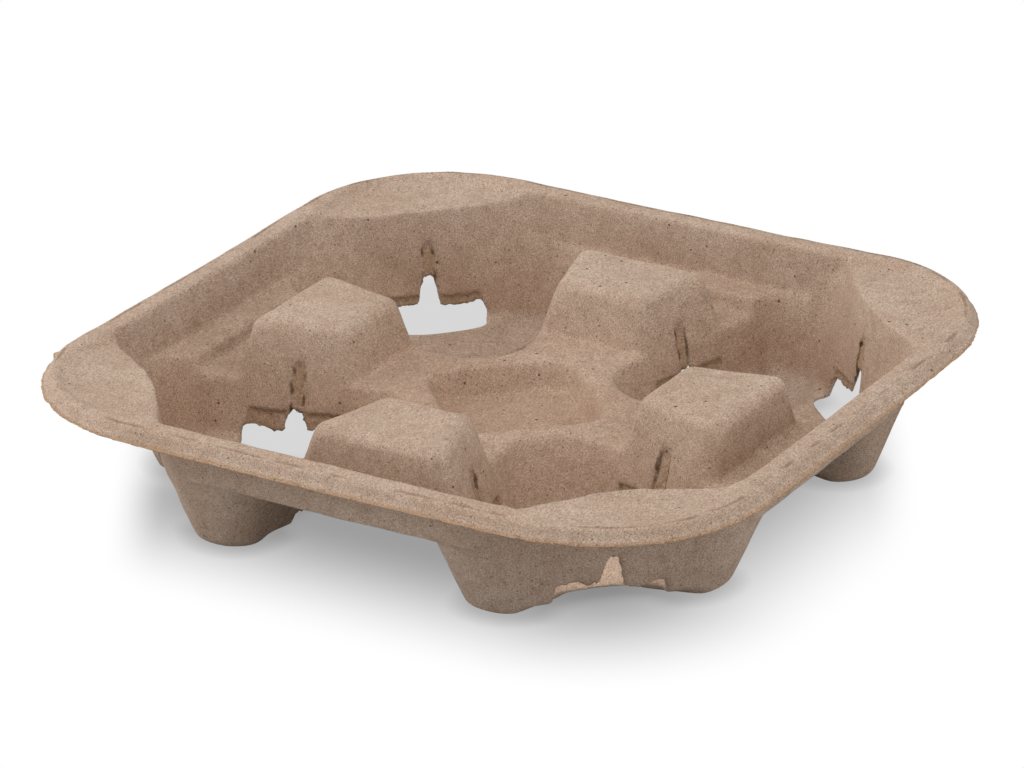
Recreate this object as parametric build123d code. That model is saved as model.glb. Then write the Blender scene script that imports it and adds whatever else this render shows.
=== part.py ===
from build123d import *
import os
from math import atan, cos, radians, sin, sqrt, tan

# Four-cup carrier tray of moulded paper pulp, one piece.
# Origin on the surface it stands on, under its middle; +Z up; millimetres.
# The cavity over the pulp is modelled once and grown by the pulp's thickness to
# get the outside, so that the wall is as thick everywhere.

# Overall
tray_side = 215.0            # across the rim's bottom edge
tray_height = 39.5           # feet to rim top
corner_radius = 48.7         # of the rim's bottom edge, in plan
pulp = 2.0                   # thickness of the moulded wall
overlap = 1.0                # bodies that are joined or cut run past each other by this

# Rim
rim_band = 6.6               # flat band along the sides
skirt_lean = 1.2             # the skirt leans out this far
skirt_height = 2.8
flare_lean = 1.5             # and its raw edge turns out this much more
flare_height = 1.5
rim_chamfer = 0.8            # of the skirt's upper edge
shelf_drop = 1.5             # corner shelves lie this far below the rim top
shelf_wall = 2.5             # width of the rim left outside a shelf at its middle
shelf_bow = 95.0             # radius of a shelf's inner edge
shelf_half_length = 30.4

# Levels above the floor
pad_level = 36.8
ledge_level = 25.0
channel_level = 20.5
ridge_level = 21.0
hub_level = 13.5
well_floor_level = 4.3
foot_hollow_level = pulp

# Wells, each about its own middle and with its own X towards the tray's corner: a
# corner wall, two walls along the tray's sides, two walls shared with the pads and
# a round end towards the tray's middle
well_inset = 57.5            # of a well's middle from the rim's bottom edge
well_turn = 45.0             # from the tray's X to a well's own X, in degrees
corner_wall_reach = 34.7     # middle of a well to its corner wall, at the pads' level
wall_draft = 17.2            # of the corner and pad walls
side_wall_reach = 49.2       # middle of a well to its side walls, at the pads' level
side_wall_draft = 19.3
corner_turn_round = 10.0     # between the corner wall and a side wall
side_turn_round = 8.0        # between a side wall and a pad wall
hub_end_round = 19.0
corner_bulge = 3.8           # the corner wall bulges inwards by this much at the top
bulge_foot = 14.0            # level at which that bulge begins
pad_wall_turn = 120.0        # the pad walls face this many degrees from the corner wall

# Side pockets and channels behind the pads
mouth_draft = 8.0            # of the wall under the rim
pocket_end = 8.0             # a pocket ends this far short of a well's middle
channel_end = 14.0           # and a channel this far
channel_inset = 21.5         # of the channel's foot from the rim's bottom edge
channel_draft = 20.0

# Pads
pad_inset = 33.2             # of its outer edge from the rim's bottom edge
pad_length = 27.8
pad_half_width = 13.14       # of its inner edge
pad_inner_draft = 15.0
pad_outer_draft = 6.0
pad_round = 4.0              # of its corners and of the edge round its top
pad_chamfer = 1.2            # of the same edges inside the hollow under it

# Recess in the middle: a square turned like the wells
ridge_length = 15.5          # between a pad and the recess
hub_corner_round = 9.0
hub_draft = 33.0

# Feet, one in each direction of foot_angles from a well's middle
foot_inner_reach = 18.0      # middle of a well to the foot's inner wall, at the well floor
foot_inner_draft = 30.0
foot_half_width = 7.8
foot_side_draft = 18.0

# T-shaped cuts through the well walls
cut_bow = 2.5                # the cut's edge in the floor curves inwards by this much
slit_width = 3.2
slit_foot_width = 7.5
slit_tip_width = 2.4         # where a slit stops going through the wall
tear_depth = 1.1             # of the torn strip above a flap's edge
corner_cut_width = 3.6       # in the floor, from the wall's foot
corner_cut_half_length = 15.0
corner_flap_level = 9.0
corner_tear_height = 3.6
corner_slit_top = 28.0
corner_slit_through = 18.0
pad_cut_width = 5.6
pad_cut_half_length = 13.5
pad_flap_level = 7.2
pad_tear_height = 5.6
pad_slit_top = 26.0
pad_slit_through = 13.5

# Derived places
half_side = tray_side / 2
knee_level = tray_height - skirt_height
edge_level = knee_level - flare_height
crest = half_side - skirt_lean - flare_lean
knee = half_side - flare_lean
mouth = crest - rim_band
corner_middle = half_side - corner_radius
mouth_round = mouth - corner_middle
well_middle = half_side - well_inset
pad_outer = half_side - pad_inset
pad_inner = pad_outer - pad_length
pad_middle = (pad_inner + pad_outer) / 2
pad_side_turn = radians(180 - well_turn - pad_wall_turn)
pad_side_shift = (pad_inner - well_middle) * sin(pad_side_turn)
pad_wall_reach = (well_middle - pad_half_width) * cos(pad_side_turn) + pad_side_shift
pocket_half_width = well_middle - pocket_end
channel_half_width = well_middle - channel_end
channel_reach = half_side - channel_inset
hub_reach = pad_inner - ridge_length
shelf_level = tray_height - shelf_drop
foot_angles = [60, 180, 300]
pad_wall_angles = [pad_wall_turn, 360 - pad_wall_turn]
quarter_turns = [0, 90, 180, 270]
at_well = Pos(well_middle, well_middle, 0) * Rot(0, 0, well_turn)


def turned_copies(shape, angles):
    result = shape
    for angle in angles[1:]:
        result += Rot(0, 0, angle - angles[0]) * shape
    return result


def rectangle_points(x_low, x_high, half_low, half_high=None):
    if half_high is None:
        half_high = half_low
    return [(x_low, -half_low), (x_high, -half_high), (x_high, half_high), (x_low, half_low)]


def flat_sided(low_points, low, high_points, high):
    # Solid with flat sides between two outlines at two levels
    bottom = [(x, y, low) for x, y in low_points]
    top = [(x, y, high) for x, y in high_points]
    faces = [make_face(Polyline(*bottom, close=True)), make_face(Polyline(*top, close=True))]
    for i in range(len(bottom)):
        j = (i + 1) % len(bottom)
        faces.append(make_face(Polyline(bottom[i], bottom[j], top[j], top[i], close=True)))
    return Solid(Shell(faces))


def upright_edge(solid, low_point, low, high_point, high):
    middle = [(a + b) / 2 for a, b in zip((*low_point, low), (*high_point, high))]
    return solid.edges().sort_by_distance(Vector(*middle))[0]


def round_upright(solid, low_points, low, high_points, high, rounds):
    # Rounds the edges that run from one outline's corners to the other's
    for low_point, high_point, radius in zip(low_points, high_points, rounds):
        edge = upright_edge(solid, low_point, low, high_point, high)
        solid = fillet(edge, radius)
    return solid


def wall_distance(reach, level):
    return reach - (pad_level - level) * tan(radians(wall_draft))


def side_wall_distance(level):
    return side_wall_reach - (pad_level - level) * tan(radians(side_wall_draft))


def walls_corner(first, second):
    # Where two walls meet, each given as the angle it faces and its distance
    a1, d1 = radians(first[0]), first[1]
    a2, d2 = radians(second[0]), second[1]
    turn = sin(a2 - a1)
    x = (d1 * sin(a2) - d2 * sin(a1)) / turn
    y = (d2 * cos(a1) - d1 * cos(a2)) / turn
    return (x, y)


def well_corners(level, grow):
    corner = wall_distance(corner_wall_reach, level) + grow
    near = wall_distance(pad_wall_reach, level) + grow
    far = side_wall_distance(level) + grow
    angles = [0, well_turn, *pad_wall_angles, 360 - well_turn]
    walls = list(zip(angles, [corner, far, near, near, far]))
    return [walls_corner(wall, after) for wall, after in zip(walls, walls[1:] + walls[:1])]


def bulge(level):
    # Negative below its foot, where the bulging body stays clear of the wall
    return corner_bulge * (level - bulge_foot) / (tray_height - bulge_foot)


def well_bulge(grow):
    # Leaning cylinder that pushes the corner wall inwards, most at the top
    lean = atan(tan(radians(wall_draft)) - corner_bulge / (tray_height - bulge_foot))
    distance = wall_distance(corner_wall_reach, tray_height) - corner_bulge + shelf_bow / cos(lean)
    axis = Plane(origin=(distance, 0, tray_height), z_dir=(sin(lean), 0, cos(lean)))
    return axis * Cylinder(shelf_bow - grow, tray_side)


def foot_points(level, grow):
    # Shorter and narrower towards the ground, open towards the outside
    drop = well_floor_level - grow - level
    inner = foot_inner_reach - grow + drop * tan(radians(foot_inner_draft))
    half = foot_half_width + grow - drop * tan(radians(foot_side_draft))
    return rectangle_points(inner, half_side, half)


def feet_hollows(grow, low):
    high = well_floor_level - grow + overlap
    foot = flat_sided(foot_points(low, grow), low, foot_points(high, grow), high)
    return turned_copies(Rot(0, 0, foot_angles[0]) * foot, foot_angles)


def well(grow, high):
    low = foot_hollow_level - grow
    low_points, high_points = well_corners(low, grow), well_corners(high, grow)
    rounds = [corner_turn_round, side_turn_round, hub_end_round, side_turn_round, corner_turn_round]
    body = flat_sided(low_points, low, high_points, high)
    body = round_upright(body, low_points, low, high_points, high, [r + grow for r in rounds])
    body -= well_bulge(grow)
    floor = Pos(0, 0, well_floor_level - grow) * Rectangle(tray_side, tray_side)
    body = body & (extrude(floor, tray_height) + feet_hollows(grow, low))
    return at_well * body


def pad_points(level, grow):
    drop = pad_level - level
    inner = pad_inner - drop * tan(radians(pad_inner_draft)) + grow
    outer = pad_outer + drop * tan(radians(pad_outer_draft)) - grow
    reach = wall_distance(pad_wall_reach, level) + grow

    def half_width(x):
        # the pad's side lies in the plane of the well's flat wall
        return well_middle - (reach - (x - well_middle) * sin(pad_side_turn)) / cos(pad_side_turn)

    return rectangle_points(inner, outer, half_width(inner), half_width(outer))


def pad(grow):
    low, high = channel_level - pulp - overlap, pad_level - grow
    body = flat_sided(pad_points(low, grow), low, pad_points(high, grow), high)
    edges = body.edges().filter_by(lambda edge: edge.bounding_box().max.Z > low)
    if grow:
        return chamfer(edges, pad_chamfer)
    return fillet(edges, pad_round)


def pocket(grow, high):
    # From under the pad out to the rim, which closes it
    low = ledge_level - grow
    plan = Rectangle(half_side, 2 * (pocket_half_width + grow))
    return extrude(Pos(pad_middle + half_side / 2, 0, low) * plan, high - low)


def channel(grow, high):
    low = channel_level - grow
    start, half = pad_middle - overlap, channel_half_width + grow
    foot, head = channel_reach + grow, channel_reach + grow + (high - low) * tan(radians(channel_draft))
    return flat_sided(rectangle_points(start, foot, half), low, rectangle_points(start, head, half), high)


def hub(grow, high):
    # The space over the ridges, as far as the pads, and the recess between them
    low, floor = ridge_level - grow, hub_level - grow
    space = extrude(Pos(0, 0, low) * Rectangle(2 * pad_middle, 2 * pad_middle), high - low)
    top_half = hub_reach / sqrt(2) + grow
    floor_half = top_half - (ridge_level - floor) * tan(radians(hub_draft)) / sqrt(2)
    low_points = rectangle_points(-floor_half, floor_half, floor_half)
    high_points = rectangle_points(-top_half, top_half, top_half)
    recess = flat_sided(low_points, floor, high_points, ridge_level)
    corner_round = min(hub_corner_round + grow, floor_half - overlap)
    recess = round_upright(recess, low_points, floor, high_points, ridge_level, 4 * [corner_round])
    return space + Rot(0, 0, well_turn) * recess


def shelf(grow, high):
    # Lens between a corner's outer arc and its slightly curved inner edge
    inner = well_middle * sqrt(2) + wall_distance(corner_wall_reach, shelf_level) - corner_bulge
    ends = inner + shelf_bow - sqrt(shelf_bow ** 2 - shelf_half_length ** 2)
    outer = corner_middle * sqrt(2) + crest - corner_middle - shelf_wall
    tip = (ends, shelf_half_length)
    foot = (ends, -shelf_half_length)
    edge = ThreePointArc(tip, (outer, 0), foot)
    back = Polyline(foot, (well_middle * sqrt(2), 0), tip)
    plan = make_face(edge + back)
    if grow:
        plan = offset(plan, grow, kind=Kind.INTERSECTION)
    body = extrude(plan, high - shelf_level + grow)
    return Pos(0, 0, shelf_level - grow) * Rot(0, 0, well_turn) * body


def bowl(grow, high):
    # The wall under the rim, which the wells and pockets run into
    low = -overlap
    half_at = [mouth + grow - (tray_height - level) * tan(radians(mouth_draft)) for level in (low, high)]
    low_points, high_points = [rectangle_points(-half, half, half) for half in half_at]
    body = flat_sided(low_points, low, high_points, high)
    return round_upright(body, low_points, low, high_points, high, 4 * [mouth_round + grow])


def cavity(grow):
    high = tray_height + overlap if grow == 0 else tray_height - pulp / 2
    body = turned_copies(well(grow, high), quarter_turns)
    body += turned_copies(pocket(grow, high), quarter_turns)
    body += turned_copies(channel(grow, high), quarter_turns)
    body += hub(grow, high)
    body = body & bowl(grow, high)
    body += turned_copies(shelf(grow, high), quarter_turns)
    body -= turned_copies(pad(grow), quarter_turns)
    return body


def rim_section():
    # Section through the rim band and its turned-down skirt
    inside = mouth - overlap
    outer = [(inside, tray_height), (crest, tray_height), (knee, knee_level), (half_side, edge_level)]
    inner = [(half_side - pulp, edge_level), (knee - pulp, knee_level)]
    inner += [(crest - pulp, tray_height - pulp), (inside, tray_height - pulp)]
    face = make_face(Plane.XZ * Polyline(*outer, *inner, close=True))
    top_edge = face.vertices().sort_by_distance(Vector(crest, 0, tray_height))[0]
    return chamfer(top_edge, rim_chamfer)


def rim():
    section = rim_section()
    side = extrude(Pos(0, corner_middle, 0) * section, 2 * corner_middle, dir=(0, -1, 0))
    corner_axis = Axis((corner_middle, corner_middle, 0), (0, 0, 1))
    corner = revolve(Pos(0, corner_middle, 0) * section, corner_axis, 90)
    plate = RectangleRounded(2 * mouth, 2 * mouth, mouth_round)
    cover = extrude(Pos(0, 0, tray_height - pulp) * plate, pulp)
    return turned_copies(side, quarter_turns) + turned_copies(corner, quarter_turns) + cover


def wall_plane(wall_reach, low, high, bulged):
    # Plane up a well's inner wall: Y along its slope, Z into the pulp
    foot = wall_distance(wall_reach, low)
    head = wall_distance(wall_reach, high)
    if bulged:
        foot -= max(bulge(low), 0)
        head -= max(bulge(high), 0)
    run = (head - foot) / (high - low)
    return Plane(origin=(foot, 0, low), x_dir=(0, 1, 0), z_dir=(1, 0, -run))


def floor_opening(wall_reach, width, half_length, flap_level):
    reach = wall_distance(wall_reach, well_floor_level) - width
    far = wall_distance(wall_reach, flap_level) + pulp + overlap
    edge = ThreePointArc((reach, half_length), (reach - cut_bow, 0), (reach, -half_length))
    rest = Polyline((reach, -half_length), (far, -half_length), (far, half_length), (reach, half_length))
    return extrude(make_face(edge + rest), flap_level)


def slit(height, top_width):
    foot, top = slit_foot_width / 2, top_width / 2
    points = [(-foot, -overlap), (foot, -overlap), (top, height), (-top, height)]
    return make_face(Polyline(*points, close=True))


def t_cut(wall_reach, width, half_length, flap_level, tear_height, slit_top, slit_through, bulged):
    # Opening between the well's floor and the flap above it, with a slit up the wall
    wall = wall_plane(wall_reach, flap_level, slit_top, bulged)
    slope = cos(radians(wall_draft))
    through_height = (slit_through - flap_level) / slope
    slit_height = (slit_top - flap_level) / slope
    tear_strip = Pos(0, (tear_height - overlap) / 2) * Rectangle(2 * half_length, tear_height + overlap)
    cuts = floor_opening(wall_reach, width, half_length, flap_level)
    cuts += extrude(wall * slit(through_height, slit_tip_width), 2 * pulp)
    cuts += extrude(wall * slit(slit_height, slit_width), tear_depth)
    return cuts + extrude(wall * tear_strip, tear_depth)


def well_cuts():
    cuts = t_cut(corner_wall_reach, corner_cut_width, corner_cut_half_length, corner_flap_level,
                 corner_tear_height, corner_slit_top, corner_slit_through, True)
    pad_cut = t_cut(pad_wall_reach, pad_cut_width, pad_cut_half_length, pad_flap_level,
                    pad_tear_height, pad_slit_top, pad_slit_through, False)
    for angle in pad_wall_angles:
        cuts += Rot(0, 0, angle) * pad_cut
    return at_well * cuts


def carrier_tray():
    outer = cavity(pulp)
    inner = cavity(0)
    cuts = turned_copies(well_cuts(), quarter_turns)
    return rim() + outer - inner - cuts


os.makedirs("parts", exist_ok=True)
export_step(carrier_tray(), "parts/carrier_tray.step")
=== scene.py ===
import math

import bmesh
import bpy
import numpy as np
from mathutils import Matrix, Vector, kdtree, noise


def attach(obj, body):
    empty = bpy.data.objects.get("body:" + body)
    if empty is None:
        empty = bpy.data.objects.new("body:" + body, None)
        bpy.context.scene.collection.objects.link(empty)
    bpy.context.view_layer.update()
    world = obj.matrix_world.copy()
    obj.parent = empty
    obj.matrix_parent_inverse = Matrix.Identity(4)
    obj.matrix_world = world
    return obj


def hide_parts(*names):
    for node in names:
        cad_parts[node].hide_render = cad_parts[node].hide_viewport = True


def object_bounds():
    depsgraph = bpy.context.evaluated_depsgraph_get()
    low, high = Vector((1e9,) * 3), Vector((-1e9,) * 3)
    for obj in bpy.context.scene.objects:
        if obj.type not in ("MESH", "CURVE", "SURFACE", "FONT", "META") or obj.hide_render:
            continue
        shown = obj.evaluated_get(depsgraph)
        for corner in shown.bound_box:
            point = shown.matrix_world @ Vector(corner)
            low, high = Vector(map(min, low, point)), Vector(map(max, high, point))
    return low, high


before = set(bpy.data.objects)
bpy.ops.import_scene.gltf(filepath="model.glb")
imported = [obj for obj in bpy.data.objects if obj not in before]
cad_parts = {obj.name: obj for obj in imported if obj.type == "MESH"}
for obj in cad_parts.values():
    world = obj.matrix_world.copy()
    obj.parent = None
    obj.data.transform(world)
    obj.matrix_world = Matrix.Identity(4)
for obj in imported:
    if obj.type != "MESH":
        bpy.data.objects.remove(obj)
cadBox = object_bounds()
halfSide = float(cadBox[1][0])
topLevel = float(cadBox[1][2])


# Mesh helpers

seedStep = (7.3, 3.1, 5.7)     # two seeds lie this far apart in the noise
leastWeight = 0.01             # points that weigh less get no noise


def readPoints(mesh):
    points = np.empty(len(mesh.vertices) * 3, np.float32)
    mesh.vertices.foreach_get("co", points)
    return points.reshape(-1, 3).astype(float)


def writePoints(mesh, points):
    mesh.vertices.foreach_set("co", points.astype(np.float32).ravel())
    mesh.update()


def readNormals(mesh):
    normals = np.empty(len(mesh.vertices) * 3, np.float32)
    mesh.vertices.foreach_get("normal", normals)
    return normals.reshape(-1, 3).astype(float)


def readEdges(mesh):
    ends = np.empty(len(mesh.edges) * 2, np.int32)
    mesh.edges.foreach_get("vertices", ends)
    return ends.reshape(-1, 2)


def neighbourMean(values, ends, counts):
    total = np.empty_like(values)
    for k in range(values.shape[1]):
        column = values[:, k]
        total[:, k] = np.bincount(ends[:, 0], column[ends[:, 1]], len(values))
        total[:, k] += np.bincount(ends[:, 1], column[ends[:, 0]], len(values))
    return total / counts[:, None]


def relax(values, ends, passes, strength):
    # strength is one number, or one for each point
    counts = np.bincount(ends.ravel(), minlength=len(values)).astype(float)
    share = np.broadcast_to(strength, (len(values),))[:, None]
    for _ in range(passes):
        values = values + share * (neighbourMean(values, ends, counts) - values)
    return values


def smoothStep(values, low, high):
    t = np.clip((values - low) / (high - low), 0, 1)
    return t * t * (3 - 2 * t)


def upTo(values, high, soft):
    # one up to high, fading out over the width soft
    return 1 - smoothStep(values, high, high + soft)


def between(values, low, high, soft):
    # one between low and high, fading out on both sides over the width soft
    return smoothStep(values, low - soft, low) * upTo(values, high, soft)


def noiseVectors(points, values, weight=None):
    # smooth random vectors that change over about the size in values
    shift = Vector([values["seed"] * step for step in seedStep])
    found = np.zeros((len(points), 3))
    chosen = np.arange(len(points)) if weight is None else np.nonzero(weight > leastWeight)[0]
    for i in chosen:
        found[i] = noise.noise_vector(Vector(points[i]) / values["size"] + shift)
    return found if weight is None else found * weight[:, None]


def applyModifier(piece, kind, **settings):
    modifier = piece.modifiers.new(kind.title(), kind)
    for name, value in settings.items():
        setattr(modifier, name, value)
    shown = piece.evaluated_get(bpy.context.evaluated_depsgraph_get())
    mesh = bpy.data.meshes.new_from_object(shown)
    piece.modifiers.clear()
    old = piece.data
    piece.data = mesh
    bpy.data.meshes.remove(old)


# The tray: the moulded wall with its soft corners, its sag and its torn edges, in metres

trayForm = {
    "mergeDistance": 0.000001,
    "voxel": 0.00062,          # of the first, even mesh
    "triangles": 196000,       # of the finished one
    "crispFrom": 0.35,         # points held crisp by more than this are thinned out last
    "crispFactor": 0.000001,
    "evenStrength": 0.5,       # how far one pass takes a point towards its neighbours' mean
    "softPasses": 10,          # how far the moulded corners are rounded
    "softMore": 22,            # further passes at the feet and behind the pads
    "feetLevel": (0.004, 0.008),
    "ledgeLevel": (0.014, 0.027),      # where the ledges behind the pads lie
    "ledgeOut": (0.077, 0.093),
    "ledgeSoft": 0.003,
    "ledgeHalf": 0.046,
    "ledgeHalfSoft": 0.004,
    "padCrisp": 0.9,           # how much of the rounding the pads' tops are spared
    "padLevel": (0.027, 0.032),        # where the pads' tops lie
    "padInner": (0.036, 0.040),
    "padOuter": (0.077, 0.081),
    "edgeRaise": 0.9,          # the pads' edges stand up a little
    "edgePasses": 7,
    "edgeReach": 10,           # passes that find the raw edges
    "edgeLow": 0.40,           # the mean normal is shorter than this on a raw edge
    "edgeHigh": 0.68,          # and longer than this away from it
    "shortestNormal": 0.05,
    "tornHold": 0.9,           # how much of the rounding the torn places are spared
    "rimRadius": 0.0487,       # of the rim's bottom edge, in plan
    "rimBand": (-0.006, -0.004),       # the rim begins here, inside its bottom edge
    "skirtWidth": 0.0034,      # the rim's skirt, which stays crisp
    "skirtFade": 0.001,
    "lipWidth": 0.0006,        # its raw edge
    "sagX": 0.0019,            # the rim hangs this much at the middles of its sides
    "sagY": 0.0009,
    "shelfStep": 0.00045,      # the corner shelves lie this much below the rim round them
    "shelfStepAt": (0.0085, 0.0105),
    "shelfLevel": (0.030, 0.036),
    "paintedLight": (0.058, -0.058, 0.003),   # painted light: a pale pool of light on the front well's floor, centred here
    "paintedLightReach": 0.017,
    "paintedLightFacing": -0.3,       # not on faces that point further down than this

    # unevenness: how much, over what size, and where in the noise
    "noiseSeed": 1795888462,   # fixed, because Blender's noise otherwise starts from the clock
    "wave": {"depth": 0.00022, "size": 0.045, "seed": 1},          # of the whole tray
    "lump": {"depth": 0.00020, "size": 0.008, "seed": 2},          # of the surface
    "tear": {"depth": 0.0023, "size": 0.0042, "seed": 3},          # torn edges run in and out
    "nibble": {"depth": 0.0012, "size": 0.0016, "seed": 4},        # and are finely ragged
    "rimNibble": {"depth": 0.00028, "size": 0.0034, "seed": 5},    # as the rim's bottom edge is
    "shred": {"depth": 0.00040, "size": 0.0011, "seed": 6},        # where the inner skin is gone
    "stray": {"depth": 0.0008, "size": 0.0035, "seed": 7},         # of the torn places' outlines
    "shadedCrease": {"depth": 0.00022, "size": 0.008, "seed": 8},        # the fold along the skirt's top, with painted shade in it
    "creaseAt": (-0.0041, -0.0036),
    "creaseSoft": 0.0005,
    "creaseBreaks": (-0.35, 0.25),     # noise values between which it comes and goes

    # the wells' walls and the cuts through them, as the part's source has them
    "wells": {
        "middle": 0.050,
        "corners": (45, 135, 225, 315),    # degrees, from the tray's middle to each well's
        "wallReach": 0.0347,   # from a well's middle to its walls, at the pads' level
        "padLevel": 0.0368,
        "wallDraft": 17.2,     # degrees
        "bulge": 0.0038,       # the corner wall comes in by this much more at the top
        "bulgeFoot": 0.014,
        "top": 0.0395,
        "slitHalf": 0.0017,
        "slitFade": 0.003,     # the torn groove ends this far below the slit's top
        "grooveSoft": 0.004,
        "stripBelow": 0.001,   # the torn strip begins this far below the flap's top
        "stripSoft": 0.0006,
        "strayShare": 0.8,     # the outlines stray up to this share of the height
        "skin": (-0.0012, 0.0013),     # the inner skin, across the wall's face
        "skinSoft": 0.0004,
        "crackFrom": -0.0001,  # the cracks, painted as dark shade, run along the slit's sides
        "crackTo": 0.0003,
        "crackSoft": 0.0004,
        "crackFade": 0.003,
        "crackBreaks": (-0.5, 0.1),
    },
    # facings are degrees from the corner's direction
    "cuts": [
        {"facings": (0,), "bulged": True,
         "halfLength": 0.0150, "flap": 0.0090, "tear": 0.0036, "slitTop": 0.0280},
        {"facings": (120, 240), "bulged": False,
         "halfLength": 0.0135, "flap": 0.0072, "tear": 0.0056, "slitTop": 0.0260},
    ],

    # marks pressed into the floor of the back well: ends, width and depth
    "pressMarks": [
        {"from": (-0.0448, 0.0497), "to": (-0.0406, 0.0651), "width": 0.0016, "depth": 0.0009},
        {"from": (-0.0677, 0.0521), "to": (-0.0415, 0.0783), "width": 0.0008, "depth": 0.0004},
    ],
    "floorTop": 0.0065,        # nothing above this level is pressed

    # places where this tray differs from the even form: point, reach and shift
    "pulls": [
        # the flaps and slot ends of the back well's corner cut
        {"at": (-0.0629, 0.0743, 0.009), "reach": 0.0055, "shift": (0, 0, -0.0013)},
        {"at": (-0.0580, 0.0792, 0.006), "reach": 0.0040, "shift": (0.0012, 0.0012, 0)},
        # the left well's cut under the pad
        {"at": (-0.0696, -0.0289, 0.006), "reach": 0.0045, "shift": (-0.0016, -0.0004, 0)},
        {"at": (-0.0624, -0.0270, 0.0075), "reach": 0.0050, "shift": (0, 0, -0.0009)},
        # the right well's floor ends further out, at its corner cut
        {"at": (0.0649, 0.0649, 0.0035), "reach": 0.0100, "shift": (0.0015, 0.0015, 0)},
        # the front well's right flap hangs lower, and its left one higher
        {"at": (0.0755, -0.0642, 0.009), "reach": 0.0060, "shift": (0, 0, -0.0022)},
        {"at": (0.0635, -0.0762, 0.009), "reach": 0.0050, "shift": (0, 0, 0.0009)},
        # the outer sides of the feet stand a little clear of the floor
        {"at": (0.0430, -0.0830, 0.000), "reach": 0.0200, "shift": (0, 0, 0.0012)},
        {"at": (0.0830, -0.0430, 0.000), "reach": 0.0180, "shift": (0, 0, 0.0006)},
        {"at": (-0.0450, -0.0780, 0.000), "reach": 0.0200, "shift": (0, 0, 0.0008)},
        # the front and left wells lean
        {"at": (0.0880, -0.0620, 0.012), "reach": 0.0220, "shift": (-0.0009, 0, 0)},
        {"at": (-0.0880, -0.0620, 0.012), "reach": 0.0220, "shift": (-0.0007, 0, 0)},
        # the right corner stands out and up, and the left one has a nub on its lip
        {"at": (0.0950, 0.0950, 0.038), "reach": 0.0300, "shift": (0.0003, 0.0003, 0.0006)},
        {"at": (-0.1068, -0.0673, 0.036), "reach": 0.0016, "shift": (-0.0014, -0.0003, 0.0009)},
    ],
}


def copyOfNode(name, form):
    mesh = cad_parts[name].data.copy()
    mesh.materials.clear()
    work = bmesh.new()
    work.from_mesh(mesh)
    bmesh.ops.remove_doubles(work, verts=work.verts, dist=form["mergeDistance"])
    work.to_mesh(mesh)
    work.free()
    mesh.name = "pulpTray"
    piece = bpy.data.objects.new("pulpTray", mesh)
    bpy.context.scene.collection.objects.link(piece)
    return piece


def rawEdges(mesh, form):
    # the mean normal is short where the wall's two sides meet, and points out of its edge
    normals = relax(readNormals(mesh), readEdges(mesh), form["edgeReach"], form["evenStrength"])
    length = np.linalg.norm(normals, axis=1)
    share = 1 - smoothStep(length, form["edgeLow"], form["edgeHigh"])
    return share, normals / np.maximum(length, form["shortestNormal"])[:, None]


def reachToRim(points, form):
    # negative inside the rim's bottom edge, zero on it
    past = np.abs(points[:, :2]) - (halfSide - form["rimRadius"])
    outside = np.linalg.norm(np.maximum(past, 0), axis=1)
    return outside + np.minimum(past.max(axis=1), 0) - form["rimRadius"]


def wayTo(degrees):
    angle = math.radians(degrees)
    return np.array((math.cos(angle), math.sin(angle)))


def tornPattern(level, side, cut, wells):
    # a strip along the flaps' top and a groove up the slit, on the flat of the wall
    soft = wells["stripSoft"]
    strip = between(level, cut["flap"] - wells["stripBelow"], cut["flap"] + cut["tear"], soft)
    strip = strip * upTo(side, cut["halfLength"], soft)
    slitEnd = cut["slitTop"] - wells["slitFade"]
    groove = between(level, cut["flap"], slitEnd, wells["grooveSoft"])
    return np.maximum(strip, groove * upTo(side, wells["slitHalf"], soft))


def crackShadePattern(level, side, cut, wells):
    # a line of painted shade along each side of the slit
    beside = (wells["slitHalf"] + wells["crackFrom"], wells["slitHalf"] + wells["crackTo"])
    line = between(side, *beside, wells["crackSoft"])
    return line * between(level, cut["flap"], cut["slitTop"] - wells["slitFade"], wells["crackFade"])


def tornShares(points, form):
    # where the cuts have torn the wall's inner skin away, and the cracks along them, which are painted
    # shade
    wells = form["wells"]
    level = points[:, 2]
    straying = (level < wells["top"] * wells["strayShare"]).astype(float)
    stray = noiseVectors(points, form["stray"], straying)
    broken = smoothStep(stray[:, 2], *wells["crackBreaks"])
    lean = math.tan(math.radians(wells["wallDraft"]))
    leaning = wells["wallReach"] - (wells["padLevel"] - level) * lean
    rise = (level - wells["bulgeFoot"]) / (wells["top"] - wells["bulgeFoot"])
    bulging = leaning - wells["bulge"] * np.clip(rise, 0, 1)
    torn = np.zeros(len(points))
    crackShade = np.zeros(len(points))
    for corner in wells["corners"]:
        middle = wayTo(corner) * wells["middle"] * math.sqrt(2)
        place = points[:, :2] - middle + stray[:, :2] * form["stray"]["depth"]
        for cut in form["cuts"]:
            wall = bulging if cut["bulged"] else leaning
            for facing in cut["facings"]:
                away = wayTo(corner + facing)
                side = np.abs(place @ np.array((-away[1], away[0])))
                skin = between(place @ away - wall, *wells["skin"], wells["skinSoft"])
                torn = np.maximum(torn, skin * tornPattern(level, side, cut, wells))
                crackShade = np.maximum(crackShade, skin * crackShadePattern(level, side, cut, wells) * broken)
    return torn, crackShade


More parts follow.
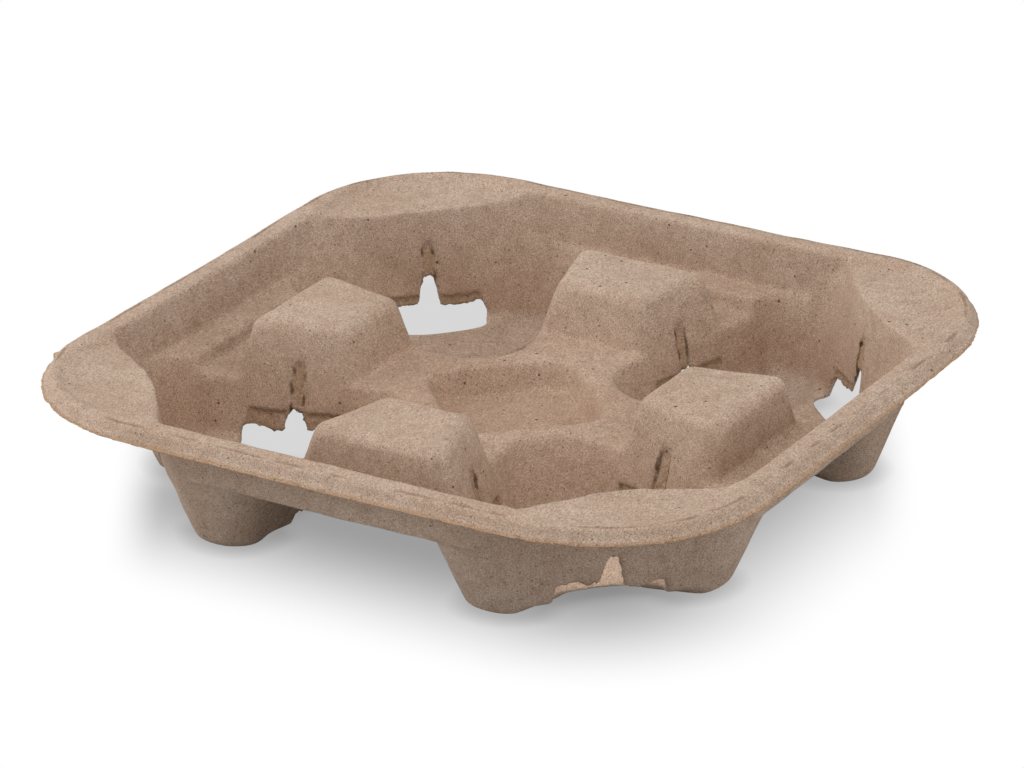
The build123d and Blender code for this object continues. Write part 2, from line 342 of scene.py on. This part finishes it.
def soften(mesh, hold, form):
    points = readPoints(mesh)
    ends = readEdges(mesh)
    level = points[:, 2]
    out = np.abs(points[:, :2]).max(axis=1)
    aside = np.abs(points[:, :2]).min(axis=1)
    onPad = smoothStep(level, *form["padLevel"]) * (1 - smoothStep(out, *form["padOuter"]))
    onPad = onPad * smoothStep(out, *form["padInner"])
    strength = form["evenStrength"] * (1 - hold)
    points = relax(points, ends, form["softPasses"], strength * (1 - form["padCrisp"] * onPad))
    raised = points - relax(points, ends, form["edgePasses"], form["evenStrength"])
    points = points + form["edgeRaise"] * onPad[:, None] * raised
    atFeet = 1 - smoothStep(level, *form["feetLevel"])
    behindPads = between(level, *form["ledgeLevel"], form["ledgeSoft"])
    behindPads = behindPads * between(out, *form["ledgeOut"], form["ledgeSoft"])
    behindPads = behindPads * upTo(aside, form["ledgeHalf"], form["ledgeHalfSoft"])
    points = relax(points, ends, form["softMore"], strength * np.maximum(atFeet, behindPads))
    writePoints(mesh, points)


def shadedCreaseShare(points, reach, normals, form):
    # the fold along the skirt, on the side that faces up; its dark colour is painted shade
    onRim = (reach > form["rimBand"][0]).astype(float)
    broken = noiseVectors(points, form["shadedCrease"], onRim)[:, 0]
    fold = between(reach, *form["creaseAt"], form["creaseSoft"])
    return fold * smoothStep(broken, *form["creaseBreaks"]) * (normals[:, 2] > 0)


# painted light: the front well's floor is made paler round a point, as a pool of light
def paintedLightShare(points, normals, form):
    away = np.linalg.norm(points - np.array(form["paintedLight"]), axis=1)
    return np.exp(-(away / form["paintedLightReach"]) ** 2) * (normals[:, 2] > form["paintedLightFacing"])


def pressed(points, form):
    # how far the marks push the floor's top down
    drop = np.zeros(len(points))
    for mark in form["pressMarks"]:
        start, end = np.array(mark["from"]), np.array(mark["to"])
        along = end - start
        t = np.clip((points[:, :2] - start) @ along / (along @ along), 0, 1)
        away = np.linalg.norm(points[:, :2] - (start + t[:, None] * along), axis=1)
        drop = np.maximum(drop, mark["depth"] * np.exp(-(away / mark["width"]) ** 2))
    return drop * (points[:, 2] < form["floorTop"])


def pulled(points, form):
    shift = np.zeros_like(points)
    for pull in form["pulls"]:
        away = np.linalg.norm(points - np.array(pull["at"]), axis=1) / pull["reach"]
        shift += np.exp(-away ** 2)[:, None] * np.array(pull["shift"])
    return shift


def tear(mesh, shares, outward, form):
    # the raw edges move in and out, and the torn places every way
    points = readPoints(mesh)
    run = noiseVectors(points, form["tear"], shares["cutEdge"])[:, :1] * form["tear"]["depth"]
    run = run + noiseVectors(points, form["nibble"], shares["cutEdge"])[:, :1] * form["nibble"]["depth"]
    rimRun = noiseVectors(points, form["rimNibble"], shares["rimEdge"])[:, :1]
    run = run + rimRun * form["rimNibble"]["depth"]
    shred = noiseVectors(points, form["shred"], shares["torn"]) * form["shred"]["depth"]
    writePoints(mesh, points + run * outward + shred)


def settle(mesh, form):
    # the rim's sag, the unevenness, the shelves' step and the places that differ
    points = readPoints(mesh)
    normals = readNormals(mesh)
    height = points[:, 2] / topLevel
    x = np.clip(np.abs(points[:, 0]) / halfSide, 0, 1)
    y = np.clip(np.abs(points[:, 1]) / halfSide, 0, 1)
    drop = (form["sagX"] * x ** 2 * (1 - y ** 2) + form["sagY"] * y ** 2 * (1 - x ** 2)) * height
    wave = noiseVectors(points, form["wave"]) * form["wave"]["depth"] * height[:, None]
    lump = noiseVectors(points, form["lump"])[:, :1] * normals * form["lump"]["depth"]
    drop = drop + pressed(points, form) * np.maximum(normals[:, 2], 0)
    insideRim = smoothStep(-reachToRim(points, form), *form["shelfStepAt"])
    drop = drop + form["shelfStep"] * insideRim * smoothStep(points[:, 2], *form["shelfLevel"])
    points = points + wave + lump + pulled(points, form)
    points[:, 2] = np.maximum(points[:, 2] - drop, 0)
    writePoints(mesh, points)


def protect(piece, weight, form):
    # the decimation keeps these points longest
    group = piece.vertex_groups.new(name="crisp")
    for i in np.nonzero(weight > form["crispFrom"])[0]:
        group.add([int(i)], 1.0, "REPLACE")
    return group.name


def markPoints(mesh, sourcePoints, shares):
    # each point takes the shares of the nearest point of the finer mesh
    tree = kdtree.KDTree(len(sourcePoints))
    for i, p in enumerate(sourcePoints):
        tree.insert(p, i)
    tree.balance()
    nearest = [tree.find(v.co)[1] for v in mesh.vertices]
    for name, share in shares.items():
        attribute = mesh.attributes.new(name, "FLOAT", "POINT")
        attribute.data.foreach_set("value", share[nearest].astype(np.float32))


def makeTray(form):
    noise.seed_set(form["noiseSeed"])
    piece = copyOfNode("carrier_tray", form)
    applyModifier(piece, "REMESH", mode="VOXEL", voxel_size=form["voxel"])
    fine = piece.data
    points = readPoints(fine)
    raw, outward = rawEdges(fine, form)
    reach = reachToRim(points, form)
    skirt = smoothStep(reach, -form["skirtWidth"] - form["skirtFade"], -form["skirtWidth"])
    torn, crackShade = tornShares(points, form)
    soften(fine, np.maximum(raw, np.maximum(form["tornHold"] * torn, skirt)), form)
    normals = readNormals(fine)
    shares = {
        "rimEdge": smoothStep(reach, -2 * form["lipWidth"], -form["lipWidth"]),
        "cutEdge": raw * (1 - smoothStep(reach, *form["rimBand"])),
        "torn": torn,
        "crackShade": crackShade,
        "shadedCrease": shadedCreaseShare(points, reach, normals, form),
        "paintedLight": paintedLightShare(points, normals, form),
    }
    tear(fine, shares, outward, form)
    fold = form["shadedCrease"]["depth"] * shares["shadedCrease"][:, None] * readNormals(fine)
    writePoints(fine, readPoints(fine) - fold)
    settle(fine, form)
    finished = readPoints(fine)
    faces = len(fine.polygons)
    print("fine mesh:", faces, "faces")
    crisp = protect(piece, np.maximum(np.maximum(raw, torn), skirt), form)
    # a face of the fine mesh is two triangles
    applyModifier(piece, "DECIMATE", ratio=form["triangles"] / (2 * faces), vertex_group=crisp,
                  invert_vertex_group=True, vertex_group_factor=form["crispFactor"])
    markPoints(piece.data, finished, shares)
    piece.data.polygons.foreach_set("use_smooth", [True] * len(piece.data.polygons))
    piece.data.update()
    print("tray mesh:", len(piece.data.polygons), "faces")
    return piece


# Materials; scales are per metre

pulpLook = {
    "base": (0.432, 0.311, 0.2315),
    "pale": (0.500, 0.380, 0.296),
    "paleClouds": (0.35, 0.68),        # noise values between which base turns pale
    "dark": (0.360, 0.246, 0.174),
    "darkMottle": (0.42, 0.72),
    "darkStrength": 0.62,
    "deepShadeAndBrown": (0.95, 0.875, 0.82),       # painted shade and browner pulp: the wells are darker and browner than the rim
    "deepTop": (0.036, 0.012),         # from the first level down to the second
    "deepFoot": (0.003, 0.007),        # and not on the floor
    "deepFacing": (-0.05, 0.15),       # nor on the underside
    # what the mesh is marked with, under the same names
    "marks": {
        # painted light: a pale pool on the front well's floor
        "paintedLight": {"colour": (0.700, 0.530, 0.400), "strength": 0.85},
        "torn": {"colour": (0.350, 0.225, 0.138), "strength": 0.75},
        "cutEdge": {"colour": (0.250, 0.150, 0.082), "strength": 0.85},
        # the rim's raw edge: its own warm brown, darkened as well with painted shade under the lip
        "rimEdge": {"colour": (0.370, 0.225, 0.125), "strength": 0.75},
        # painted shade in the cracks along the slits
        "crackShade": {"colour": (0.090, 0.050, 0.026), "strength": 0.9},
        # painted shade in the fold along the skirt
        "shadedCrease": {"colour": (0.230, 0.150, 0.098), "strength": 0.8},
    },
    "markRange": (0.2, 0.9),
    "markMottle": (0.35, 0.6),         # the marks are patchy, weakest where the mottle is low
    "markLeast": 0.7,
    "clouds": {"scale": 30.0, "detail": 4, "roughness": 0.55},
    "mottle": {"scale": 260.0, "detail": 4, "roughness": 0.6},
    "grain": {"scale": 2700.0, "detail": 3, "roughness": 0.7},
    "grainRange": (0.3, 0.7),
    "grainTone": (-0.38, 0.38),
    "fibres": {"scale": 3400.0, "stretch": 4.0, "detail": 2, "roughness": 0.6},
    "fibreTurns": ((20, 35, 15), (70, -20, 100)),
    "fibreRange": (0.38, 0.62),
    "fibreTone": (0.74, 1.26),
    "screenPitch": 0.00062,            # metres; the moulding screen's print
    "screenWarp": ((1.0, 0.6, 0.8), (0.7, -1.0, -0.6)),    # the ways of its two sets of ribs
    "screenTone": 0.07,
    "screenClouds": (0.56, 0.44),      # it shows where the clouds are dark
    "spots": [
        {"colour": (0.070, 0.042, 0.030), "scale": 620.0, "size": 0.25, "strength": 0.45},
        {"colour": (0.070, 0.042, 0.030), "scale": 205.0, "size": 0.115, "strength": 0.85},
        {"colour": (0.700, 0.600, 0.500), "scale": 240.0, "size": 0.09, "strength": 0.5},
    ],
    "smallestSpot": 0.35,              # of the largest
    "spotFade": (1.0, 0.7),            # shares of a spot's reach where it begins and is full
    "roughness": 0.93,
    "specular": 0.2,
    "grainHeight": 0.6,
    "fibreHeight": 0.8,
    "mottleHeight": 0.5,
    "bumpStrength": 0.5,
    "bumpDistance": 0.0004,
}


def link(tree, source, target):
    tree.links.new(source, target)


def fill(tree, socket, value):
    if isinstance(value, bpy.types.NodeSocket):
        link(tree, value, socket)
    elif isinstance(value, tuple) and len(value) == 3 and socket.type == "RGBA":
        socket.default_value = (*value, 1.0)
    else:
        socket.default_value = value


def noiseNode(tree, vector, scale, detail, roughness):
    node = tree.nodes.new("ShaderNodeTexNoise")
    for name, value in (("Vector", vector), ("Scale", scale), ("Detail", detail), ("Roughness", roughness)):
        fill(tree, node.inputs[name], value)
    return node.outputs["Fac"]


def rangeNode(tree, value, low, high, newLow=0.0, newHigh=1.0, kind="LINEAR"):
    node = tree.nodes.new("ShaderNodeMapRange")
    node.interpolation_type = kind
    settings = (("Value", value), ("From Min", low), ("From Max", high),
                ("To Min", newLow), ("To Max", newHigh))
    for name, setting in settings:
        fill(tree, node.inputs[name], setting)
    return node.outputs["Result"]


def mixColour(tree, factor, first, second, mode="MIX"):
    node = tree.nodes.new("ShaderNodeMix")
    node.data_type = "RGBA"
    node.blend_type = mode
    for socket, value in ((node.inputs[0], factor), (node.inputs[6], first), (node.inputs[7], second)):
        fill(tree, socket, value)
    return node.outputs[2]


def mathNode(tree, operation, first, second=0.0):
    node = tree.nodes.new("ShaderNodeMath")
    node.operation = operation
    fill(tree, node.inputs[0], first)
    fill(tree, node.inputs[1], second)
    return node.outputs[0]


def partOf(tree, vector, index):
    split = tree.nodes.new("ShaderNodeSeparateXYZ")
    link(tree, vector, split.inputs[0])
    return split.outputs[index]


def strands(tree, place, turn, fibres):
    # noise drawn out along one direction, for the pulp's fibres
    mapping = tree.nodes.new("ShaderNodeMapping")
    scale = fibres["scale"]
    link(tree, place, mapping.inputs["Vector"])
    mapping.inputs["Rotation"].default_value = [math.radians(angle) for angle in turn]
    mapping.inputs["Scale"].default_value = (scale, scale / fibres["stretch"], scale)
    return noiseNode(tree, mapping.outputs["Vector"], 1.0, fibres["detail"], fibres["roughness"])


def screenPrint(tree, place, look):
    # two crossing sets of fine ribs
    ribs = []
    for direction in look["screenWarp"]:
        turn = tree.nodes.new("ShaderNodeVectorMath")
        turn.operation = "DOT_PRODUCT"
        link(tree, place, turn.inputs[0])
        turn.inputs[1].default_value = [2 * math.pi / look["screenPitch"] * part for part in direction]
        ribs.append(mathNode(tree, "SINE", turn.outputs["Value"]))
    return mathNode(tree, "MULTIPLY", *ribs)


def deepShadeAndBrownShare(tree, place, facing, look):
    # inside the wells, below the rim and above the floor, where shade is painted and the pulp is browner
    level = partOf(tree, place, 2)
    low = mathNode(tree, "MULTIPLY", rangeNode(tree, level, *look["deepTop"]),
                   rangeNode(tree, level, *look["deepFoot"]))
    return mathNode(tree, "MULTIPLY", low, rangeNode(tree, facing, *look["deepFacing"]))


def markShare(tree, name, mottle, look):
    share = tree.nodes.new("ShaderNodeAttribute")
    share.attribute_name = name
    strength = look["marks"][name]["strength"]
    amount = rangeNode(tree, share.outputs["Fac"], *look["markRange"], 0, strength)
    patches = rangeNode(tree, mottle, *look["markMottle"], look["markLeast"], 1.0)
    return mathNode(tree, "MULTIPLY", amount, patches)


def pulpTone(tree, place, clouds, grain, fibres, look):
    # how much lighter or darker each fibre and rib is
    tone = mathNode(tree, "ADD", rangeNode(tree, grain, *look["grainRange"], *look["grainTone"]),
                    rangeNode(tree, fibres, *look["fibreRange"], *look["fibreTone"]))
    shown = mathNode(tree, "MULTIPLY", rangeNode(tree, clouds, *look["screenClouds"]), look["screenTone"])
    tone = mathNode(tree, "ADD", tone, mathNode(tree, "MULTIPLY", screenPrint(tree, place, look), shown))
    grey = tree.nodes.new("ShaderNodeCombineColor")
    for socket in grey.inputs[:3]:
        link(tree, tone, socket)
    return grey.outputs[0]


def spotShare(tree, place, spot, look):
    # round spots in a random part of the material, one to a cell
    cells = tree.nodes.new("ShaderNodeTexVoronoi")
    fill(tree, cells.inputs["Vector"], place)
    fill(tree, cells.inputs["Scale"], spot["scale"])
    chosen = tree.nodes.new("ShaderNodeSeparateColor")
    link(tree, cells.outputs["Color"], chosen.inputs[0])
    reach = rangeNode(tree, chosen.outputs[0], 0.0, 1.0, spot["size"] * look["smallestSpot"], spot["size"])
    share = rangeNode(tree, mathNode(tree, "DIVIDE", cells.outputs["Distance"], reach), *look["spotFade"])
    return mathNode(tree, "MULTIPLY", share, spot["strength"])


def pulpBump(tree, grain, fibres, mottle, look):
    height = mathNode(tree, "ADD", mathNode(tree, "MULTIPLY", grain, look["grainHeight"]),
                      mathNode(tree, "MULTIPLY", fibres, look["fibreHeight"]))
    height = mathNode(tree, "ADD", height, mathNode(tree, "MULTIPLY", mottle, look["mottleHeight"]))
    bump = tree.nodes.new("ShaderNodeBump")
    bump.inputs["Strength"].default_value = look["bumpStrength"]
    bump.inputs["Distance"].default_value = look["bumpDistance"]
    link(tree, height, bump.inputs["Height"])
    return bump.outputs["Normal"]


def makePulp(look):
    material = bpy.data.materials.new("pulp")
    material.use_nodes = True
    tree = material.node_tree
    shader = tree.nodes["Principled BSDF"]
    coordinates = tree.nodes.new("ShaderNodeTexCoord")
    place = coordinates.outputs["Object"]
    facing = partOf(tree, coordinates.outputs["Normal"], 2)

    clouds, mottle, grain = [noiseNode(tree, place, **look[name]) for name in ("clouds", "mottle", "grain")]
    along, across = [strands(tree, place, turn, look["fibres"]) for turn in look["fibreTurns"]]
    fibres = mathNode(tree, "MULTIPLY", mathNode(tree, "ADD", along, across), 0.5)

    colour = mixColour(tree, rangeNode(tree, clouds, *look["paleClouds"]), look["base"], look["pale"])
    darkShare = rangeNode(tree, mottle, *look["darkMottle"], 0, look["darkStrength"])
    colour = mixColour(tree, darkShare, colour, look["dark"])
    # painted shade inside the wells, together with their browner pulp
    colour = mixColour(tree, deepShadeAndBrownShare(tree, place, facing, look), colour, look["deepShadeAndBrown"], "MULTIPLY")
    for name, mark in look["marks"].items():
        colour = mixColour(tree, markShare(tree, name, mottle, look), colour, mark["colour"])
    tone = pulpTone(tree, place, clouds, grain, fibres, look)
    colour = mixColour(tree, 1.0, colour, tone, "MULTIPLY")
    for spot in look["spots"]:
        colour = mixColour(tree, spotShare(tree, place, spot, look), colour, spot["colour"])
    link(tree, colour, shader.inputs["Base Color"])
    shader.inputs["Roughness"].default_value = look["roughness"]
    shader.inputs["Specular IOR Level"].default_value = look["specular"]
    link(tree, pulpBump(tree, grain, fibres, mottle, look), shader.inputs["Normal"])
    return material


# Floor, light and camera

studio = {
    "floorHalf": 4.0,
    "floorColour": (0.45, 0.45, 0.45),
    "footprintHalf": 0.088,    # the shade on the floor follows this rounded square
    "footprintRadius": 0.035,
    "shadeStart": -0.030,      # from here to shadeEnd, outwards, the floor turns white
    "shadeEnd": 0.035,
    "shadeDark": 0.34,
    "shadeAcross": (0.096, 0.112),     # and between these, to the left and right of the tray's middle
    "backShade": 0.68,         # of the floor towards the back, which is seen through the wells' cuts
    "backStart": (-0.020, 0.010),      # it comes in between these, from the tray's middle backwards
    "backReach": (0.020, 0.070),       # and goes out between these, from the footprint outwards
    "touchReach": 0.006,       # the feet's own shade
    "touchOpen": (0.3, 1.0),   # how open the floor is beside them and away from them
    "touchShade": (0.75, 1.0),
    "touchSamples": 8,
    "worldLight": 0.62,
    "lampSize": 1.1,
    "lamps": [
        {"place": (-0.05, -0.50, 1.30), "energy": 6.6},
        {"place": (1.15, 0.05, 0.42), "energy": 3.8},
        {"place": (-1.15, -0.40, 0.38), "energy": 8.5},
    ],
}

# Degrees and metres, and millimetres for the lens
viewpoint = {
    "azimuth": 30.076,
    "elevation": 23.3125,
    "roll": 0.078,
    "distance": 1.44527,
    "target": (0.01378, -0.02595, 0.0370),
    "lens": 188.0,
    "sensor": 36.0,
    "farthest": 20,
}


def seenDirectly(tree):
    # one for what the camera sees, also in a gloss or through glass
    rays = tree.nodes.new("ShaderNodeLightPath")
    seen = mathNode(tree, "MAXIMUM", rays.outputs["Is Camera Ray"], rays.outputs["Is Glossy Ray"])
    return mathNode(tree, "MAXIMUM", seen, rays.outputs["Is Transmission Ray"])


def alongFloor(tree, place, direction):
    parts = [mathNode(tree, "MULTIPLY", place.outputs[k], direction[k]) for k in (0, 1)]
    return mathNode(tree, "ADD", *parts)


def blend(tree, factor, first, second):
    change = mathNode(tree, "SUBTRACT", second, first)
    return mathNode(tree, "ADD", first, mathNode(tree, "MULTIPLY", factor, change))


def fade(tree, value, limits, newLow=0.0, newHigh=1.0):
    return rangeNode(tree, value, *limits, newLow, newHigh, "SMOOTHSTEP")


def reachPastFootprint(tree, place, values):
    # negative inside the rounded square, zero on it
    straight = values["footprintHalf"] - values["footprintRadius"]
    sides = [mathNode(tree, "ABSOLUTE", place.outputs[k]) for k in (0, 1)]
    past = [mathNode(tree, "SUBTRACT", side, straight) for side in sides]
    squares = [mathNode(tree, "POWER", mathNode(tree, "MAXIMUM", value, 0.0), 2.0) for value in past]
    outside = mathNode(tree, "SQRT", mathNode(tree, "ADD", *squares))
    inside = mathNode(tree, "MINIMUM", mathNode(tree, "MAXIMUM", *past), 0.0)
    return mathNode(tree, "SUBTRACT", mathNode(tree, "ADD", outside, inside), values["footprintRadius"])


def floorShade(tree, values):
    # dark under the tray's outline, white a little outside it, and less dark towards the back
    place = tree.nodes.new("ShaderNodeSeparateXYZ")
    link(tree, tree.nodes.new("ShaderNodeTexCoord").outputs["Object"], place.inputs[0])
    reach = reachPastFootprint(tree, place, values)
    shade = fade(tree, reach, (values["shadeStart"], values["shadeEnd"]), values["shadeDark"])
    turn = math.radians(viewpoint["azimuth"])
    behind = alongFloor(tree, place, (-math.sin(turn), math.cos(turn)))
    back = mathNode(tree, "MULTIPLY", fade(tree, behind, values["backStart"]),
                    fade(tree, reach, values["backReach"], 1.0, 0.0))
    shade = blend(tree, back, shade, values["backShade"])
    across = mathNode(tree, "ABSOLUTE", alongFloor(tree, place, (math.cos(turn), math.sin(turn))))
    shade = blend(tree, fade(tree, across, values["shadeAcross"]), shade, 1.0)
    near = tree.nodes.new("ShaderNodeAmbientOcclusion")
    near.samples = values["touchSamples"]
    near.inputs["Distance"].default_value = values["touchReach"]
    touch = rangeNode(tree, near.outputs["AO"], *values["touchOpen"], *values["touchShade"])
    return mathNode(tree, "MULTIPLY", shade, touch)


def makeFloor(values):
    # it lights the tray from below, and itself shows white with a soft shade round the tray
    work = bmesh.new()
    bmesh.ops.create_grid(work, x_segments=1, y_segments=1, size=values["floorHalf"])
    mesh = bpy.data.meshes.new("floor")
    work.to_mesh(mesh)
    work.free()
    floor = bpy.data.objects.new("floor", mesh)
    bpy.context.scene.collection.objects.link(floor)
    material = bpy.data.materials.new("paleFloor")
    material.use_nodes = True
    tree = material.node_tree
    tree.nodes.clear()
    diffuse = tree.nodes.new("ShaderNodeBsdfDiffuse")
    diffuse.inputs["Color"].default_value = (*values["floorColour"], 1)
    glow = tree.nodes.new("ShaderNodeEmission")
    link(tree, floorShade(tree, values), glow.inputs["Strength"])
    shown = tree.nodes.new("ShaderNodeMixShader")
    link(tree, seenDirectly(tree), shown.inputs[0])
    link(tree, diffuse.outputs[0], shown.inputs[1])
    link(tree, glow.outputs[0], shown.inputs[2])
    output = tree.nodes.new("ShaderNodeOutputMaterial")
    link(tree, shown.outputs[0], output.inputs["Surface"])
    mesh.materials.append(material)


def makeWorld(values):
    # its light is soft, and it shows white
    world = bpy.data.worlds.new("studioLight")
    world.use_nodes = True
    tree = world.node_tree
    background = tree.nodes["Background"]
    strength = rangeNode(tree, seenDirectly(tree), 0, 1, values["worldLight"], 1.0)
    link(tree, strength, background.inputs["Strength"])
    background.inputs["Color"].default_value = (1, 1, 1, 1)
    bpy.context.scene.world = world


def makeLamps(values):
    # soft boxes that all face the tray
    for lamp in values["lamps"]:
        light = bpy.data.lights.new("softBox", "AREA")
        light.shape = "DISK"
        light.size = values["lampSize"]
        light.energy = lamp["energy"]
        box = bpy.data.objects.new("softBox", light)
        place = Vector(lamp["place"])
        box.matrix_world = Matrix.Translation(place) @ place.to_track_quat("Z", "Y").to_matrix().to_4x4()
        bpy.context.scene.collection.objects.link(box)


def makeCamera(values):
    azimuth = math.radians(values["azimuth"])
    elevation = math.radians(values["elevation"])
    back = Vector((math.sin(azimuth) * math.cos(elevation),
                   -math.cos(azimuth) * math.cos(elevation), math.sin(elevation)))
    place = Vector(values["target"]) + back * values["distance"]
    turn = back.to_track_quat("Z", "Y").to_matrix().to_4x4()
    roll = Matrix.Rotation(math.radians(values["roll"]), 4, "Z")
    data = bpy.data.cameras.new("camera")
    data.lens = values["lens"]
    data.sensor_width = values["sensor"]
    data.clip_end = values["farthest"]
    camera = bpy.data.objects.new("camera", data)
    camera.matrix_world = Matrix.Translation(place) @ turn @ roll
    bpy.context.scene.collection.objects.link(camera)
    bpy.context.scene.camera = camera


makeCamera(viewpoint)
makeFloor(studio)
makeWorld(studio)
makeLamps(studio)
print("studio ready")

pulpTray = makeTray(trayForm)
pulpTray.data.materials.append(makePulp(pulpLook))
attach(pulpTray, "root")
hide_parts("carrier_tray")
print("tray ready")

bpy.context.scene.view_settings.view_transform = "Standard"
